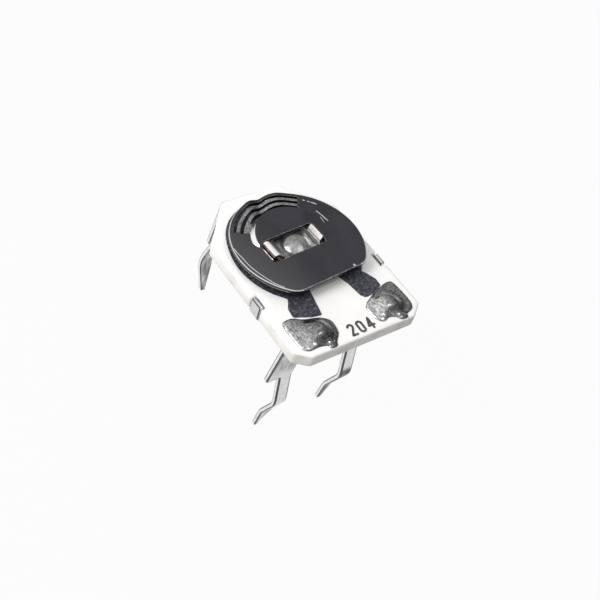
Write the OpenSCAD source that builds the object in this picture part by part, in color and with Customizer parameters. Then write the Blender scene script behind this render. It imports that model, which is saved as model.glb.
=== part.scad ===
// Single-turn trimmer potentiometer with an open wiper, built on a flat ceramic plate.
// Millimetres. The origin is on the rotor axis at the plate's top face. +Z is up,
// +X is right, and -Y is the front, where the two end terminals are.
// The wiper is modelled near the middle of its travel.

/* [Ceramic plate] */
// Width of the plate, side to side
base_w = 9; // [8.7:0.1:10]
// Distance from the rotor axis to the front edge
base_front = 7.05; // [6.9:0.05:8]
// Distance from the rotor axis to the rear edge
base_rear = 4.9; // [4.6:0.1:6]
// Thickness of the plate
base_t = 0.88; // [0.6:0.04:1.2]
// Size of the rear corner cuts along the rear edge
rear_cut_x = 2.4; // [1.8:0.1:2.8]
// Size of the rear corner cuts along the sides
rear_cut_y = 2.75; // [2:0.05:3.4]
// Size of the front corner cuts along the front edge
front_cut_x = 0.85; // [0.4:0.05:1.2]
// Size of the front corner cuts along the sides
front_cut_y = 0.7; // [0.3:0.05:1]

/* [Resistive track] */
// Thickness of the printed films
film_t = 0.04; // [0.02:0.01:0.1]
// How far the track shows outside the rotor
track_margin = 0.02; // [0:0.02:0.16]
// Width of the track ring
track_w = 1.6; // [1.2:0.1:2]
// Distance from the centre line to the outer edge of a track leg
leg_out = 3.1; // [2.9:0.05:3.4]
// Distance from the centre line to the inner edge of a track leg
leg_in = 1.45; // [1.2:0.05:1.7]

/* [End electrodes and solder] */
// Distance from the side of the plate to an electrode
pad_side = 0.45; // [0.2:0.05:0.6]
// Distance from the front edge of the plate to an electrode
pad_front = 0.4; // [0.2:0.05:0.5]
// Length of an electrode, front to rear
pad_l = 2.25; // [2:0.05:2.35]
// Reach of an electrode inwards from the middle of its solder joint
pad_in = 1.25; // [1.1:0.05:1.3]
// Radius of the footprint of a solder joint
solder_r = 0.95; // [0.8:0.05:1.15]
// Height of a solder joint
solder_h = 0.5; // [0.35:0.05:0.7]
// Thickness of the solder that coats the rest of an electrode
coat_t = 0.06; // [0.03:0.01:0.12]

/* [Terminals] */
// Thickness of the terminal strip
strip_t = 0.3; // [0.2:0.05:0.4]
// Inside radius of the bends in the strip
bend_r = 0.2; // [0.1:0.05:0.4]
// Width of a pin
pin_w = 0.9; // [0.6:0.05:1]
// Width of a pin's rounded tip
tip_w = 0.3; // [0.2:0.05:0.5]
// Distance between the two end pins
pin_pitch = 5; // [4.8:0.1:5.2]
// Width of the end terminals above the board
end_w = 1.9; // [1.5:0.1:2]
// Width of the wiper terminal above the board
wiper_w = 2.2; // [1.6:0.1:2.6]
// Height of the plate's underside above the circuit board
stand_off = 4.3; // [3:0.1:6]
// Length of the pins below the board's top face
pin_l = 6.3; // [5:0.1:7]
// Distance from a solder joint's middle back to the end terminal's leg
foot_l = 0.55; // [0.45:0.05:0.7]
// Lean of the end terminals' upper legs towards the rear
end_lean = 8; // [0:1:12]
// How far the wiper terminal's leg starts behind the plate
wiper_out = 0.95; // [0.5:0.05:1]
// Lean of the wiper terminal's leg towards the rear
wiper_lean = 7; // [5:0.5:12]
// Inside radius of the wiper terminal's bend behind the plate
wiper_bend_r = 0.7; // [0.3:0.05:0.75]
// How much lower the wiper terminal's shoulders are than the end terminals'
wiper_drop = 0.35; // [0:0.05:0.5]
// How much shorter the wiper pin is than the end pins
wiper_short = 0.35; // [0:0.05:0.6]
// How far the end pins swing out to the front, below the board
pin_kick = 0.35; // [0.1:0.01:0.5]
// How far the end pins then swing back in towards the rear
pin_return = 1.25; // [0.8:0.05:1.6]
// How far the wiper pin swings out to the rear, below the board
wiper_kick = 1.1; // [0.8:0.05:1.3]
// How far the wiper pin then swings back in towards the front
wiper_return = 0.4; // [0.3:0.05:1.1]
// Diameter of the holes that the end terminals pass through
lead_hole_d = 1.1; // [1:0.05:1.3]

/* [Wiper terminal tabs] */
// Distance from the rotor axis forward to the two side tabs
tab_y = 2.6; // [2.3:0.05:2.9]
// Width of a side tab
tab_w = 0.8; // [0.6:0.05:1]
// Gap between a side tab and its notch in the plate
tab_gap = 0.08; // [0.04:0.01:0.12]
// Radius of the terminal's ring round the rivet
ring_r = 1.5; // [1.3:0.1:1.7]

/* [Wiper] */
// How far the wiper is turned from the middle of its travel, as it is modelled
rotor_turn = 4; // [-10:1:10]
// Radius of the wiper disc
rotor_r = 4.05; // [3.9:0.05:4.15]
// Distance from the disc's centre to its flat front edge
rotor_flat = 3.2; // [3:0.05:3.4]
// Corner radius at the ends of the flat edge
rotor_corner = 0.9; // [0.5:0.05:1.2]
// Thickness of the wiper sheet
sheet_t = 0.25; // [0.2:0.01:0.3]
// Slope of the disc, down to the rear where it meets the track
rotor_tilt = 2.25; // [1.75:0.25:2.75]
// Gap between the contact fingers and the track
contact_gap = 0.03; // [0.02:0.01:0.05]
// How far the raised middle lies behind the disc's centre
plateau_y = 0.25; // [0:0.05:0.3]
// How far the raised middle stands above the disc at its front
plateau_rise = 0.02; // [0.01:0.01:0.06]
// Width of each contact finger
finger_w = 0.26; // [0.23:0.01:0.28]
// Width of the slots between the fingers
slot_w = 0.16; // [0.12:0.01:0.18]
// Direction of the slots' right ends, from +X
slot_from = 53; // [46:1:60]
// Direction of the slots' left ends, from +X
slot_to = 142; // [136:1:146]
// Direction of the line where the fingers touch the track, from +X
contact_dir = 91; // [86:1:98]
// Depth of the bend that presses the fingers on the track
contact_dip = 0.2; // [0.16:0.01:0.24]
// Width of the window, front to rear
window_w = 1.6; // [1.5:0.05:1.7]

/* [Clip and rivet] */
// Width of the clip that holds the disc
clip_w = 1.2; // [1:0.05:1.3]
// Thickness of the clip
clip_t = 0.2; // [0.15:0.01:0.22]
// Distance from the middle of the clip to the foot of each lug
lug_in = 1.12; // [1.1:0.02:1.2]
// Lean of the right lug, outwards
lug_lean = 18; // [14:1:22]
// Lean of the left lug, outwards
left_lean = 48; // [45:1:50]
// Gap between the lugs and the window's ends
clip_gap = 0.05; // [0.03:0.01:0.08]
// How far the right drive lug stands above the disc
lug_rise = 0.2; // [0.15:0.05:0.35]
// Reach of the curled left lug past its foot
curl_reach = 1.15; // [1.1:0.01:1.25]
// Radius of the rivet's shank
shank_r = 0.6; // [0.5:0.05:0.7]
// Running clearance round the shank
shank_gap = 0.05; // [0.02:0.01:0.1]
// Radius of the rivet's head
head_r = 0.95; // [0.88:0.01:0.97]
// Height of the dome on the rivet's head
button_h = 0.33; // [0.26:0.01:0.34]
// End play of the rotor between the plate and the wiper terminal
end_play = 0.05; // [0.03:0.01:0.08]

/* [Marking] */
// Height of the printed figures
figure_h = 0.84; // [0.6:0.02:0.9]
// Width of a printed figure
figure_w = 0.44; // [0.36:0.01:0.5]
// Distance from one figure to the next
figure_pitch = 0.63; // [0.58:0.01:0.66]
// Width of the printed line
stroke = 0.12; // [0.08:0.01:0.15]

/* [Hidden] */
$fn = 96;
eps = 0.01;

// Plate and terminals: places that follow from the sizes above
under_z = -base_t;
strip_z = under_z - strip_t / 2;
board_z = under_z - stand_off;
tip_z = board_z - pin_l;
pin_x = pin_pitch / 2;
pad_x = base_w / 2 - pad_side;
pad_x0 = pin_x - pad_in;
pad_y = -base_front + pad_front;
pad_rear = pad_y + pad_l;
joint_y = pad_y + solder_r;
tongue_w = 0.7 * lead_hole_d;
tongue_z = film_t + solder_h / 2;
tab_x = base_w / 2 - strip_t / 2;
bore_r = shank_r + shank_gap;

// Disc: its plane is set so that the bends of the fingers just clear the track
disc_z = film_t + contact_gap + contact_dip + rotor_r * sin(rotor_tilt);
finger_step = finger_w + slot_w;
plateau_wall = 0.14;
plateau_r = rotor_r - 3 * finger_step - 0.06 - plateau_y;
plateau_z = disc_z + sheet_t + (plateau_r - plateau_y) * tan(rotor_tilt) + plateau_rise;
plateau_under = plateau_z - sheet_t;

// Clip and rivet heights
clip_z = end_play + clip_t / 2;
head_z = end_play + clip_t;
head_t = plateau_under - 0.04 - head_z - button_h * (1 - pow(window_w / 2 / head_r, 2));
lug_top = plateau_z + lug_rise;
curl_z = plateau_z + clip_t / 2 + 0.02;
window_left = lug_in + (plateau_z - clip_z) * tan(left_lean) + clip_t / 2 / cos(left_lean) + clip_gap;
window_right = lug_in + (plateau_z - clip_z) * tan(lug_lean) + clip_t / 2 / cos(lug_lean) + clip_gap;
flare_z = under_z - strip_t - end_play;
flare_r = ring_r - 0.4;
flare_t = 0.2;

// ---- strip work -------------------------------------------------------------

function unit(v) = v / norm(v);
function left_of(v) = [-v[1], v[0]];
function beyond(a, b, d) = b + unit(b - a) * d;

// Corner i of a path, replaced by the points of an arc of radius r
function bend_points(p, i, r, n = 6) =
    let (a = unit(p[i - 1] - p[i]), b = unit(p[i + 1] - p[i]),
         half = acos(a * b) / 2,
         cut = min(r / tan(half), 0.45 * norm(p[i - 1] - p[i]), 0.45 * norm(p[i + 1] - p[i])),
         centre = p[i] + unit(a + b) * cut / cos(half),
         from = p[i] + a * cut - centre,
         to = p[i] + b * cut - centre)
    [for (k = [0:n]) centre + unit(from * (n - k) + to * k) * norm(from)];

function rounded(p, r) =
    concat([p[0]], [for (i = [1:len(p) - 2]) for (q = bend_points(p, i, r[i - 1])) q],
           [p[len(p) - 1]]);

function heading(p, i) =
    i == 0 ? unit(p[1] - p[0])
    : i == len(p) - 1 ? unit(p[i] - p[i - 1])
    : unit(unit(p[i + 1] - p[i]) + unit(p[i] - p[i - 1]));

// Offset from a path's point i to the strip's edge, t / 2 to the left of the path
function edge(p, i, t) =
    left_of(heading(p, i)) * t / 2 / (i == 0 ? 1 : heading(p, i) * unit(p[i] - p[i - 1]));

// Outline of a strip of thickness t whose middle follows the path
function ribbon(p, t) =
    concat([for (i = [0:len(p) - 1]) p[i] + edge(p, i, t)],
           [for (i = [len(p) - 1:-1:0]) p[i] - edge(p, i, t)]);

// A strip bent in the YZ plane, from x0 to x1, with inside radii r
module strip_yz(p, x0, x1, t, r)
    translate([x0, 0, 0]) rotate([90, 0, 90]) linear_extrude(x1 - x0)
        polygon(ribbon(rounded(p, [for (k = r) k + t / 2]), t));

// A strip bent in the XZ plane, from y0 to y1, with inside radii r
module strip_xz(p, y0, y1, t, r)
    translate([0, y1, 0]) rotate([90, 0, 0]) linear_extrude(y1 - y0)
        polygon(ribbon(rounded(p, [for (k = r) k + t / 2]), t));

// A flat outline drawn in X and Z, pushed through the whole part along Y
module front_view() translate([0, 20, 0]) rotate([90, 0, 0]) linear_extrude(40) children();

// A pin, below the board, that tapers from one height to a rounded tip at another
module pin_outline(x, taper_z, end_z) {
    r = tip_w / 2;
    top = board_z + 0.5;
    polygon([[x - pin_w / 2, top], [x - pin_w / 2, taper_z], [x - r, end_z + r],
             [x + r, end_z + r], [x + pin_w / 2, taper_z], [x + pin_w / 2, top]]);
    translate([x, end_z + r]) circle(r);
}

// The wide part of a terminal, from x0 to x1 and down to z0, its left lower corner rounded
module shoulder_outline(x0, x1, z0, r = 0.25) {
    translate([x0 + r, z0]) square([x1 - x0 - r, under_z - z0]);
    translate([x0, z0 + r]) square([2 * r, under_z - z0 - r]);
    translate([x0 + r, z0 + r]) circle(r);
}

// ---- ceramic plate ----------------------------------------------------------

module plate_outline()
    polygon([[-base_w / 2 + front_cut_x, -base_front], [base_w / 2 - front_cut_x, -base_front],
             [base_w / 2, -base_front + front_cut_y], [base_w / 2, base_rear - rear_cut_y],
             [base_w / 2 - rear_cut_x, base_rear], [-base_w / 2 + rear_cut_x, base_rear],
             [-base_w / 2, base_rear - rear_cut_y], [-base_w / 2, -base_front + front_cut_y]]);

module ceramic_base() color([0.94, 0.93, 0.9]) difference() {
    translate([0, 0, under_z]) linear_extrude(base_t) plate_outline();
    translate([0, 0, under_z - eps]) cylinder(r = bore_r, h = base_t + 2 * eps);
    for (s = [-1, 1]) {
        translate([s * pin_x, joint_y, under_z - eps])
            cylinder(d = lead_hole_d, h = base_t + 2 * eps);
        translate([s * base_w / 2, -tab_y, under_z])
            cube([2 * (strip_t + tab_gap), tab_w + 2 * tab_gap, 3 * base_t], center = true);
    }
}

// ---- printed films ----------------------------------------------------------

// Right-hand leg of the track, from the ring to its electrode
module track_leg()
    polygon([[leg_in - 0.3, -3.2], [leg_in - 0.3, pad_rear - 0.15], [leg_in + 0.3, pad_rear - 0.4],
             [leg_out, pad_rear - 0.2], [leg_out + 0.05, pad_rear + 0.65], [leg_out - 0.4, -3.05]]);

module electrode_outline()
    polygon([[pad_x, pad_rear], [pad_x0 + 1.7, pad_rear], [pad_x0 + 0.4, pad_rear - 0.55],
             [pad_x0, pad_rear - 1.1], [pad_x0, pad_y + 0.35], [pad_x0 + 0.45, pad_y],
             [pad_x - 0.5, pad_y], [pad_x, pad_y + 0.5]]);

module resistive_track() color([0.16, 0.16, 0.18]) difference() {
    union() {
        cylinder(r = rotor_r + track_margin, h = film_t);
        linear_extrude(film_t) track_leg();
        mirror([1, 0, 0]) linear_extrude(film_t) track_leg();
    }
    translate([0, 0, -eps]) cylinder(r = rotor_r + track_margin - track_w, h = film_t + 2 * eps);
    // bare ceramic between the legs
    translate([0, 0, -eps]) linear_extrude(film_t + 2 * eps)
        polygon([[0.4 - leg_in, -2], [leg_in - 0.4, -2], [leg_in, pad_rear - 0.27],
                 [leg_in, -base_front], [-leg_in, -base_front], [-leg_in, pad_rear - 0.27]]);
    for (s = [0, 1]) mirror([s, 0, 0]) translate([0, 0, -eps]) linear_extrude(film_t + 2 * eps)
        electrode_outline();
}

module electrode() color([0.74, 0.74, 0.72]) linear_extrude(film_t) difference() {
    electrode_outline();
    translate([pin_x, joint_y]) circle(d = lead_hole_d);
}

// One stroke of a figure, with round ends
module bar(a, b) {
    translate(a) rotate(atan2(b[1] - a[1], b[0] - a[0])) translate([0, -stroke / 2, 0])
        cube([norm(b - a), stroke, film_t]);
    for (q = [a, b]) translate(q) cylinder(d = stroke, h = film_t);
}

module arc(c, r, from, sweep) translate(c) rotate_extrude(angle = sweep, start = from)
    translate([r - stroke / 2, 0]) square([stroke, film_t]);

module value_marking() color([0.3, 0.3, 0.32]) {
    r = (figure_w - stroke) / 2;
    top = figure_h - stroke / 2 - r;
    translate([0.11, -base_front + 0.25, 0]) {
        translate([-figure_pitch, 0, 0]) {
            arc([0, top], r, -35, 215);
            bar([r * cos(35), top - r * sin(35)], [-r, stroke / 2]);
            bar([-r, stroke / 2], [r, stroke / 2]);
        }
        for (s = [-1, 1]) bar([s * r, stroke / 2 + r], [s * r, top]);
        arc([0, top], r, 0, 180);
        arc([0, stroke / 2 + r], r, 180, 180);
        translate([figure_pitch, 0, 0]) {
            bar([r / 2, stroke / 2], [r / 2, figure_h - stroke / 2]);
            bar([r / 2, figure_h - stroke / 2], [-r, figure_h * 0.3]);
            bar([-r, figure_h * 0.3], [r + stroke / 2, figure_h * 0.3]);
        }
    }
}

// ---- solder and terminals ---------------------------------------------------

// A dome of radius r and height h standing on z = 0
module dome(r, h) {
    ball = (r * r + h * h) / (2 * h);
    intersection() {
        translate([0, 0, h - ball]) sphere(ball);
        cylinder(r = 2 * r, h = 2 * h);
    }
}

// Right-hand joint: a dome over the terminal's end and a thin coat over the electrode
module solder() color([0.6, 0.6, 0.6]) difference() {
    union() {
        translate([pin_x, joint_y, film_t]) dome(solder_r, solder_h);
        translate([0, 0, film_t]) linear_extrude(coat_t) electrode_outline();
    }
    translate([pin_x - tongue_w / 2, joint_y - strip_t / 2, 0]) cube([tongue_w, strip_t, tongue_z]);
}

// Stamped strip: tongue through the plate, short foot under it, wide leg, kinked pin
module end_terminal(x) color([0.7, 0.71, 0.72]) {
    top = [joint_y + foot_l, strip_z];
    seat = [top[0] + (top[1] - board_z) * tan(end_lean), board_z];
    kick = seat + [-pin_kick, -0.37 * pin_l];
    back = kick + [0.74 * pin_return, -0.33 * pin_l];
    tip = [kick[0] + pin_return, tip_z];
    intersection() {
        strip_yz([[joint_y, tongue_z], [joint_y, strip_z], top, seat, kick, back,
                  beyond(back, tip, 0.2)], x - end_w, x + end_w, strip_t,
                 [0.1, bend_r, 1, 1, 1.8]);
        front_view() {
            pin_outline(x, kick[1], tip_z);
            shoulder_outline(x + pin_w / 2 - end_w, x + pin_w / 2, board_z);
            translate([x - tongue_w / 2, under_z - eps]) square([tongue_w, base_t + tongue_z + eps]);
        }
    }
}

// Stamped strip: ring and cross bar under the plate, side tabs, leaning rear leg, kinked pin
module wiper_terminal() color([0.7, 0.71, 0.72]) {
    top = [base_rear + wiper_out, strip_z];
    seat = [top[0] + (top[1] - board_z) * tan(wiper_lean), board_z];
    kick = seat + [wiper_kick, -0.5 * pin_l];
    tip = [kick[0] - wiper_return, tip_z + wiper_short];
    low = board_z - wiper_drop;
    difference() {
        union() {
            translate([0, 0, under_z - strip_t]) linear_extrude(strip_t) {
                circle(ring_r);
                translate([-pin_w, -tab_y]) square([2 * pin_w, tab_y]);
                translate([-wiper_w / 2, 0]) square([wiper_w, base_rear - 1]);
            }
            strip_xz([[-tab_x, 0], [-tab_x, strip_z], [tab_x, strip_z], [tab_x, 0]],
                     -tab_y - tab_w / 2, -tab_y + tab_w / 2, strip_t, [tab_gap / 2, tab_gap / 2]);
            intersection() {
                strip_yz([[base_rear - 2, strip_z], top, seat, kick, beyond(kick, tip, 0.2)],
                         -wiper_w, wiper_w, strip_t, [wiper_bend_r, 1, 2.4]);
                front_view() {
                    pin_outline(0, kick[1] - 0.7, tip[1]);
                    shoulder_outline(-wiper_w / 2, 0, low);
                    mirror([1, 0]) shoulder_outline(-wiper_w / 2, 0, low);
                }
            }
        }
        translate([0, 0, under_z - strip_t - eps]) cylinder(r = bore_r, h = strip_t + 2 * eps);
    }
}

// ---- rotor ------------------------------------------------------------------

// Rivet: domed head over the clip, shank through the plate, flare under the terminal
module hub_rivet() color([0.66, 0.66, 0.66]) difference() {
    union() {
        translate([0, 0, head_z]) cylinder(r = head_r, h = head_t);
        translate([0, 0, head_z + head_t]) dome(head_r, button_h);
        translate([0, 0, flare_z - flare_t]) cylinder(r = shank_r, h = head_z - flare_z + flare_t);
        translate([0, 0, flare_z - flare_t]) cylinder(r = flare_r, h = flare_t);
    }
    translate([0, 0, flare_z - flare_t - eps]) cylinder(r1 = 0.8 * shank_r, r2 = 0.3 * shank_r, h = 0.5);
}

// Clip: strap under the rivet head; the left lug is curled over, the right one stands
module wiper_clip() color([0.55, 0.47, 0.38]) rotate(rotor_turn) difference() {
    intersection() {
        strip_xz([[-lug_in - curl_reach, curl_z],
                  [-lug_in - (curl_z - clip_z) * tan(left_lean), curl_z],
                  [-lug_in, clip_z], [lug_in, clip_z],
                  [lug_in + (lug_top - clip_z) * tan(lug_lean), lug_top]],
                 -2, 2, clip_t, [0.05, 0.05, 0.05]);
        // wide below the disc, so that the disc sits on the lugs' shoulders
        union() {
            translate([-3, -window_w / 2 - 0.2, 0]) cube([6, window_w + 0.4, plateau_under]);
            translate([-3, -clip_w / 2, 0]) cube([6, clip_w, 2]);
        }
    }
    cylinder(r = shank_r + 0.02, h = 2 * clip_z + eps);
}

// Rim of the disc: a circle with a flat front edge and rounded corners
module disc_outline() {
    c = rotor_corner;
    cx = sqrt((rotor_r - c) * (rotor_r - c) - (rotor_flat - c) * (rotor_flat - c));
    tx = cx * rotor_r / (rotor_r - c);
    ty = -(rotor_flat - c) * rotor_r / (rotor_r - c);
    intersection() {
        circle(rotor_r);
        translate([-rotor_r, ty]) square(2 * rotor_r);
    }
    polygon([[-tx, ty], [-cx, c - rotor_flat], [-cx, -rotor_flat],
             [cx, -rotor_flat], [cx, c - rotor_flat], [tx, ty]]);
    for (s = [-1, 1]) translate([s * cx, c - rotor_flat]) circle(c);
}

// Slot i between the contact fingers, counted from the rim
module slot(i) {
    r = rotor_r - i * finger_step;
    rotate_extrude(angle = slot_to - slot_from, start = slot_from)
        translate([r, -1]) square([slot_w, 2]);
}

// Flat sheet whose fingers are bent down to a shallow V along the contact line
module flange() {
    half = 0.5;
    bend = rounded([[-half, 0], [0, -contact_dip], [half, 0]], [0.4]);
    from = rotor_r - 3 * finger_step + 0.02;
    difference() {
        union() {
            linear_extrude(sheet_t) disc_outline();
            intersection() {
                rotate(contact_dir) translate([from, 0, 0]) rotate([90, 0, 90])
                    linear_extrude(rotor_r) polygon(concat(bend, [[half, sheet_t / 3],
                                                                  [-half, sheet_t / 3]]));
                translate([0, 0, -1]) cylinder(r = rotor_r, h = 2);
            }
        }
        rotate(contact_dir) translate([from, 0, sheet_t]) rotate([90, 0, 90])
            linear_extrude(rotor_r) polygon(concat(bend, [[half, 1], [-half, 1]]));
    }
}

// Spring disc: sloping flange with fingers, level raised middle with a window
module wiper_disc() color([0.3, 0.3, 0.32]) rotate(rotor_turn) difference() {
    union() {
        translate([0, 0, disc_z]) rotate([-rotor_tilt, 0, 0]) flange();
        difference() {
            translate([0, plateau_y, 0]) cylinder(r = plateau_r, h = plateau_z);
            translate([0, 0, disc_z]) rotate([-rotor_tilt, 0, 0])
                translate([-6, -6, -3]) cube([12, 12, 3]);
        }
    }
    translate([0, 0, disc_z]) rotate([-rotor_tilt, 0, 0]) for (i = [1:3]) slot(i);
    translate([0, plateau_y, -1]) cylinder(r = plateau_r - plateau_wall, h = 1 + plateau_under);
    translate([-window_left, -window_w / 2, 0])
        cube([window_left + window_right, window_w, 2 * plateau_z]);
}

// ---- whole part -------------------------------------------------------------

ceramic_base();
resistive_track();
mirror([1, 0, 0]) electrode();  // electrode_left
electrode();  // electrode_right
mirror([1, 0, 0]) solder();  // solder_left
solder();  // solder_right
end_terminal(-pin_x);  // end_terminal_left
end_terminal(pin_x);  // end_terminal_right
wiper_terminal();
value_marking();
hub_rivet();
wiper_clip();
wiper_disc();
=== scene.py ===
from math import atan2, cos, degrees, hypot, pi, radians, sin, tan

import bpy
import numpy as np
from mathutils import Matrix, Vector, noise
from mathutils.geometry import delaunay_2d_cdt


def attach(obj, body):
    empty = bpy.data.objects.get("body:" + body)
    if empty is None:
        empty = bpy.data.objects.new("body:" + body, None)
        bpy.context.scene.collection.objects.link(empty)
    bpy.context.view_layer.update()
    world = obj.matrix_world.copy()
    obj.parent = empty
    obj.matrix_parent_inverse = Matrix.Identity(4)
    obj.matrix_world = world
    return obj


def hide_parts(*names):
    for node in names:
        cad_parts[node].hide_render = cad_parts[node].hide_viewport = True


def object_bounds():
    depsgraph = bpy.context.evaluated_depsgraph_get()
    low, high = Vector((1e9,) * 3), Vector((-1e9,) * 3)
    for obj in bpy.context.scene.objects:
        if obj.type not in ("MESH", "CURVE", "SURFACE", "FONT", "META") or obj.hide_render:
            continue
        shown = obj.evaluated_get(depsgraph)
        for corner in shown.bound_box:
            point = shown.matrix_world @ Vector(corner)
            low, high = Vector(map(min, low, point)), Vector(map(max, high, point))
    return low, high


# A trimmer potentiometer: a ceramic plate on three bent terminals, and a rotor with a spring disc.

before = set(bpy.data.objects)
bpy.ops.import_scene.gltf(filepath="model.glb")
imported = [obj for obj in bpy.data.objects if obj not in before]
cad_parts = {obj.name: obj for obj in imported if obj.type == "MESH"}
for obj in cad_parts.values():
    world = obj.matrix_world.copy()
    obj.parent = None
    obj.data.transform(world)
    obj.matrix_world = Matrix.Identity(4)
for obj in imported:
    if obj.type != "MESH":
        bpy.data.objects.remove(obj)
cad_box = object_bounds()
MM = 0.001

# ---- sizes, in millimetres and degrees ----------------------------------------
# The origin is on the rotor axis at the plate's top face, as in the frame.

# Ceramic plate: half its width, its front and rear edges, the (x, y) cuts of its corners
PLATE_HALF = 4.5
PLATE_FRONT = 7.05
PLATE_REAR = 4.9
PLATE_T = 0.88
FRONT_CUT = (0.85, 0.7)
REAR_CUT = (2.4, 2.75)
BORE_R = 0.65
LEAD_HOLE_R = 0.55

# Film: thickness, outer and inner radius of the track, extra width at its rear left and where it ends
FILM_T = 0.04
TRACK_R = 4.02
TRACK_IN = 2.47
TRACK_BULGE = 0.22
BULGE_TO = 168

# Solder: skin, swelling inside its edge (height, width), dome (place, reach, height, margin)
SKIN_T = 0.05
SWELL_H = 0.07
SWELL_W = 0.14
DOME_Y = -5.75
DOME_R = 1.2
DOME_H = 0.42
DOME_MARGIN = 0.5

# All terminals: strip, width of the pins and of their tips, heights of the strip and of the board
STRIP_T = 0.3
PIN_W = 0.9
TIP_W = 0.3
STRIP_Z = -PLATE_T - STRIP_T / 2
BOARD_Z = -5.18

# End terminals: place, tongue in the plate, wide leg and its lean, the pin's bends as (y, z) steps
# and its tip, and the radii of all bends from the tip up
PIN_X = 2.5
JOINT_Y = -5.7
TONGUE_W = 0.77
TONGUE_TOP = 0.28
END_W = 1.9
END_OUT = 0.55
END_LEAN = 8
END_KICK = (-0.35, -2.33)
END_BACK = (0.925, -2.08)
END_TIP_Y = 1.25
END_TIP_Z = -11.48
END_RADII = (1.95, 1.15, 1.15, 0.35, 0.25)

# Wiper terminal: ring, leg and its lean, the pin's bend and tip, how far below the bend it narrows,
# the radii of the bends from the tip up, and the tabs up the sides of the plate
RING_R = 1.5
WIPER_W = 2.2
WIPER_OUT = 0.95
WIPER_LEAN = 7
WIPER_LOW = -5.53
WIPER_KICK = (1.1, -3.15)
WIPER_TIP_Y = -0.4
WIPER_TIP_Z = -11.13
WIPER_TAPER = 0.7
WIPER_RADII = (2.55, 1.15, 0.85)
TAB_Y = -2.6
TAB_W = 0.8
TAB_GAP = 0.08

# Rotor: turn at rest; disc with its flat front edge; tilt and height of the disc
TURN = 4.0
DISC_R = 4.05
DISC_FLAT = 3.2
DISC_CORNER = 0.9
SHEET_T = 0.25
TILT = radians(2.25)
DISC_TOP = 0.679

# Slots between the contact fingers, from one direction to another; the third ends sooner
FINGER_STEP = 0.42
SLOT_W = 0.2
SLOT_FROM = 53
SLOT_TO = 142
SHORT_SLOT = 18

# Ripple of the fingers: direction of the dip at the rim and its lean in degrees per mm inwards,
# (place, height, reach) of a crest, the dip and a crest along a finger, and the radius it starts at
DIP_AT = 88
DIP_LEAN = 8.5
RIPPLES = ((0.95, 0.1, 0.4), (0, -0.18, 0.38), (-1.15, 0.1, 0.6))
RIPPLE_R = 2.72

# Raised middle of the disc: its steep wall, wider at the crescent with a painted highlight, its soft front
# slope between two directions (405 is 45 past a full turn), and the window in it
RAISED_R = 2.43
RAISED_Y = 0.25
RAISED_TOP = 0.787
WALL_W = 0.05
CRESCENT_W = 0.19
CRESCENT_FROM = 120
CRESCENT_TO = 172
SOFT_FROM = 166
SOFT_TO = 405
SOFT_OUT = 0.7
SOFT_W = 2.0
WINDOW_LEFT = 2.02
WINDOW_RIGHT = 1.48
WINDOW_HALF = 0.8

# Clip: strap, feet of the lugs, the left lug's tip, crest and neck, the right lug's (x, z) top
CLIP_W = 1.2
CLIP_T = 0.2
CLIP_Z = 0.15
LUG_IN = 1.12
CURL_TIP = 2.27
CURL_CREST = 1.96
CURL_NECK = 1.45
LUG_TOP = (1.39, 0.985)

# Right lug: how far from its foot it narrows, and where its painted glint and its painted highlight begin
LUG_NECK = 0.33
LUG_GLINT = (0.36, 0.42)
LUG_BRIGHT = 0.5

# Rivet: head, shank, flare and the hollow of the flare
HEAD_R = 0.95
HEAD_RIM = 0.41
HEAD_TOP = 0.79
HEAD_UNDER = 0.25
SHANK_R = 0.6
FLARE_R = 1.1
FLARE_TOP = -1.15
FLARE_T = 0.2
FLARE_BEVEL = 0.05
HOLLOW_R = 0.48
HOLLOW_IN = 0.2
HOLLOW_TOP = -0.9

# ---- outlines ----------------------------------------------------------------


def arc(centre, r, start, end, step=0.08):
    """Points on an arc, from one direction to another in degrees, about step apart."""
    n = max(3, int(abs(radians(end - start)) * r / step) + 1)
    a = np.radians(np.linspace(start, end, n))
    return [(centre[0] + r * cos(t), centre[1] + r * sin(t)) for t in a]


def corner(before, p, after, r, share):
    """Where the arc of radius r in the corner at p starts and ends, and its centre.

    The arc takes up at most a share of each of the corner's two sides."""
    to_before = before - p
    to_after = after - p
    u = to_before / np.linalg.norm(to_before)
    v = to_after / np.linalg.norm(to_after)
    half = np.arccos(np.clip(u @ v, -1, 1)) / 2
    cut = min(r / tan(half), share * np.linalg.norm(to_before), share * np.linalg.norm(to_after))
    centre = p + (u + v) / np.linalg.norm(u + v) * cut / cos(half)
    return p + u * cut, p + v * cut, centre


def is_straight(before, p, after):
    """Whether the outline hardly turns at p."""
    u = (before - p) / np.linalg.norm(before - p)
    v = (after - p) / np.linalg.norm(after - p)
    return np.arccos(np.clip(u @ v, -1, 1)) / 2 > radians(89.5)


def rounded(points, radii):
    """The polygon through points, each corner replaced by an arc of its radius."""
    p = [np.array(q, float) for q in points]
    radii = radii if isinstance(radii, list) else [radii] * len(p)
    out = []
    for i, r in enumerate(radii):
        before = p[i - 1]
        after = p[(i + 1) % len(p)]
        if r <= 0 or is_straight(before, p[i], after):
            out.append(tuple(p[i]))
            continue
        first, last, centre = corner(before, p[i], after, r, 0.48)
        q0 = first - centre
        q1 = last - centre
        r = np.linalg.norm(q0)
        start = atan2(q0[1], q0[0])
        turn = (atan2(q1[1], q1[0]) - start + pi) % (2 * pi) - pi
        count = max(3, int(abs(turn) * r / 0.06) + 2)
        for t in np.linspace(start, start + turn, count):
            out.append(tuple(centre + r * np.array((cos(t), sin(t)))))
    return out


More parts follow.
